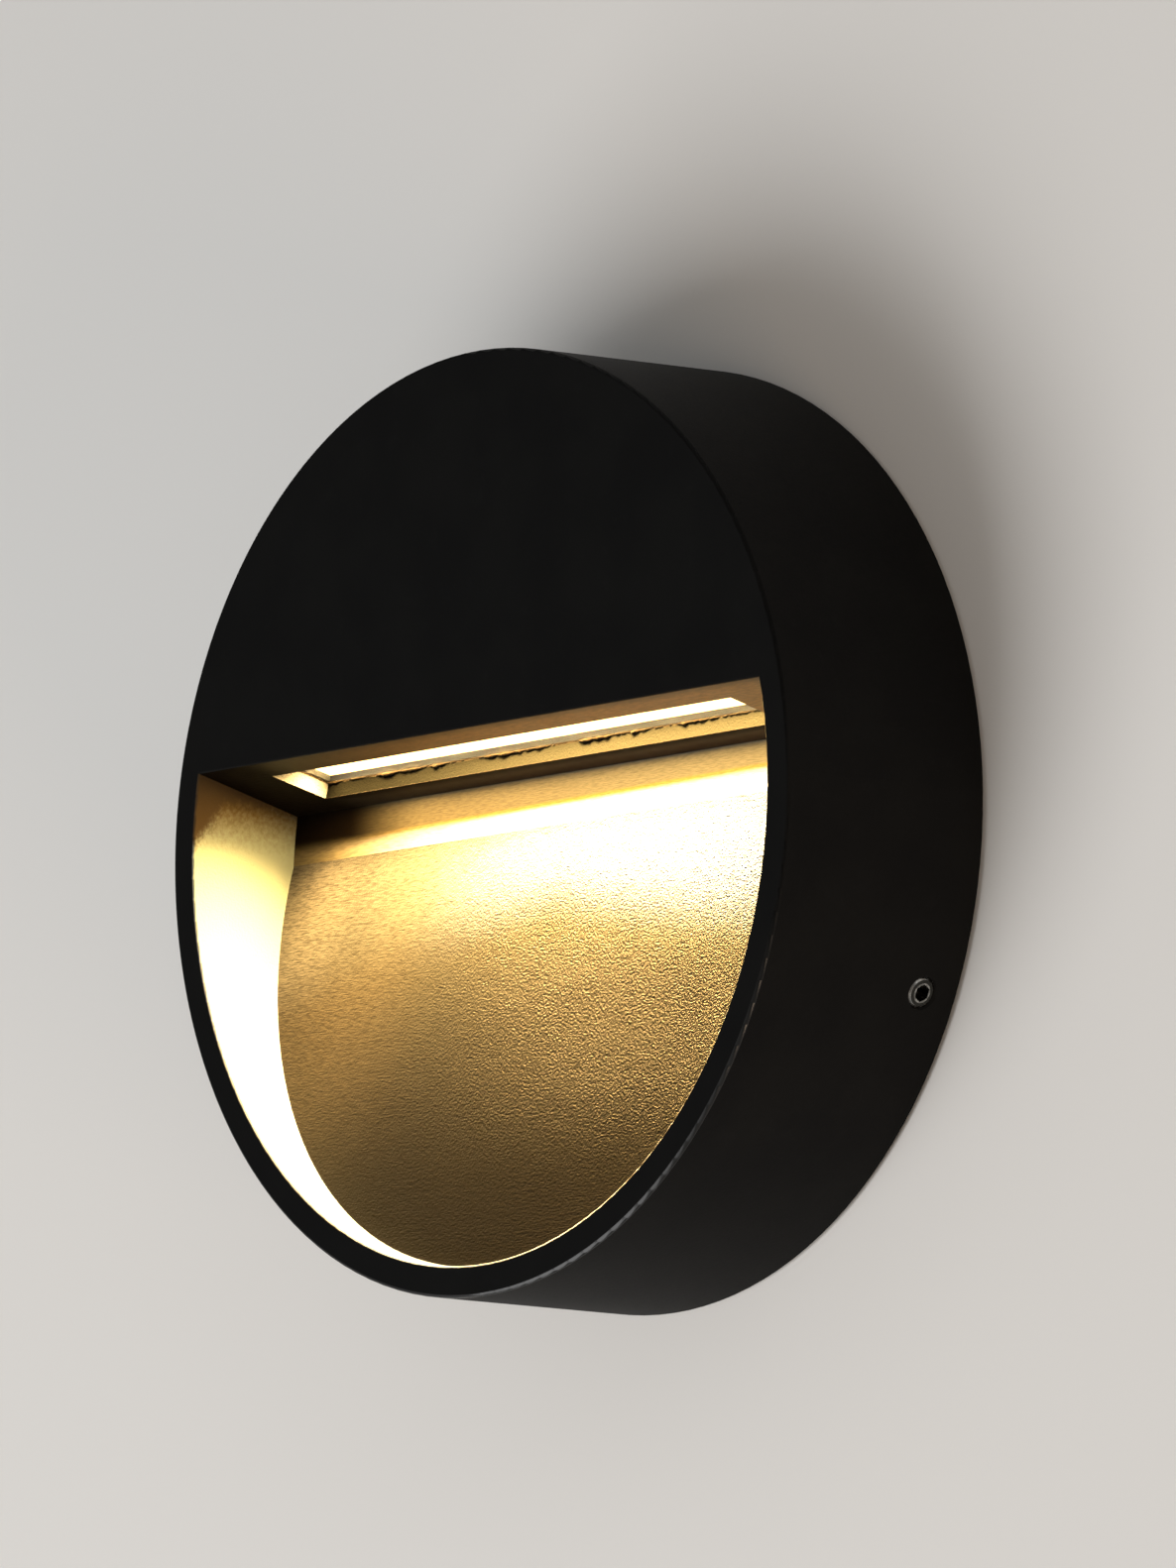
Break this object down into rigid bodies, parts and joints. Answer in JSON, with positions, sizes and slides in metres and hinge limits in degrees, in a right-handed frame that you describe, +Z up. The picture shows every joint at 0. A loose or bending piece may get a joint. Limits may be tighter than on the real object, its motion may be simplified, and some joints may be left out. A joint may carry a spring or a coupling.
{
  "type": "recessed eyelid wall light",
  "caption": "Round black wall light with an eyelid recess lit downwards from a slot in its sloping ceiling, dropped over a wall plate and held by side grub screws.",
  "frame": {"origin": "on the wall, at the middle of the wall plate's back face, halfway between its two screw slots and on the housing's axis", "axes": "+Y runs into the wall, the light stands out along -Y, +Z is up and +X is to the right of someone facing the light"},
  "size_m": [0.1516, 0.04, 0.1516],
  "materials": {
    "body_paint": "matt black powder coat with a fine texture, coarser inside the recess",
    "cover_paint": "matt black powder coat",
    "plate_metal": "pressed sheet, mill finish",
    "carrier_metal": "cast, bare",
    "lens_glass": "clear toughened pane",
    "opal": "lit opal diffuser",
    "phosphor": "lit phosphor chip",
    "board_white": "white solder mask",
    "board_green": "green solder mask",
    "screw_steel": "stainless",
    "grub_steel": "stainless, bright chamfer",
    "brass": "turned",
    "tinned_copper": "tinned, crimped",
    "silicone": "black silicone, squeezed out in a ragged bead along the slot",
    "rubber": "moulded black",
    "foam": "closed-cell foam strip",
    "white_plastic": "moulded, satin",
    "sleeve_red": "lead insulation",
    "sleeve_black": "lead insulation",
    "sleeve_brown": "lead insulation",
    "sleeve_blue": "lead insulation",
    "sleeve_green": "lead insulation, green with a yellow stripe"
  },
  "bodies": {
    "wall_plate": {"wall_plate": "plate_metal", "wall_gasket": "foam", "plate_grommet": "rubber"},
    "housing": {"housing": "body_paint", "lens": "lens_glass", "lens_gasket": "silicone", "diffuser": "opal", "led_board": "board_white", "led_chips": "phosphor", "led_carrier": "carrier_metal", "carrier_screws": "screw_steel", "led_connector": "white_plastic", "led_lead_red": "sleeve_red", "led_lead_black": "sleeve_black", "driver_case": "white_plastic", "driver_lid": "white_plastic", "driver_board": "board_green", "driver_screws": "screw_steel", "rear_cover": "cover_paint", "cover_gasket": "silicone", "cover_screws": "screw_steel", "cover_grommet": "rubber", "cord_clamp": "white_plastic", "clamp_screws": "screw_steel", "terminal_block": "white_plastic", "terminal_inserts": "brass", "terminal_screws": "screw_steel", "terminal_ties": "screw_steel", "live_lead": "sleeve_brown", "neutral_lead": "sleeve_blue", "earth_lead": "sleeve_green", "earth_screw": "brass", "earth_tag": "tinned_copper"},
    "grub_screw_right": {"grub_screw_right": "grub_steel"},
    "grub_screw_left": {"grub_screw_left": "grub_steel"}
  },
  "joints": [
    {"name": "housing_slide", "type": "slide", "parent": "wall_plate", "child": "housing", "axis": [0, -1, 0], "range_m": [0, 0.05]},
    {"name": "right_screw_travel", "type": "slide", "parent": "housing", "child": "grub_screw_right", "axis": [0.9107, 0, -0.4131], "range_m": [0, 0.003]},
    {"name": "left_screw_travel", "type": "slide", "parent": "housing", "child": "grub_screw_left", "axis": [-0.9107, 0, -0.4131], "range_m": [0, 0.003]}
  ]
}
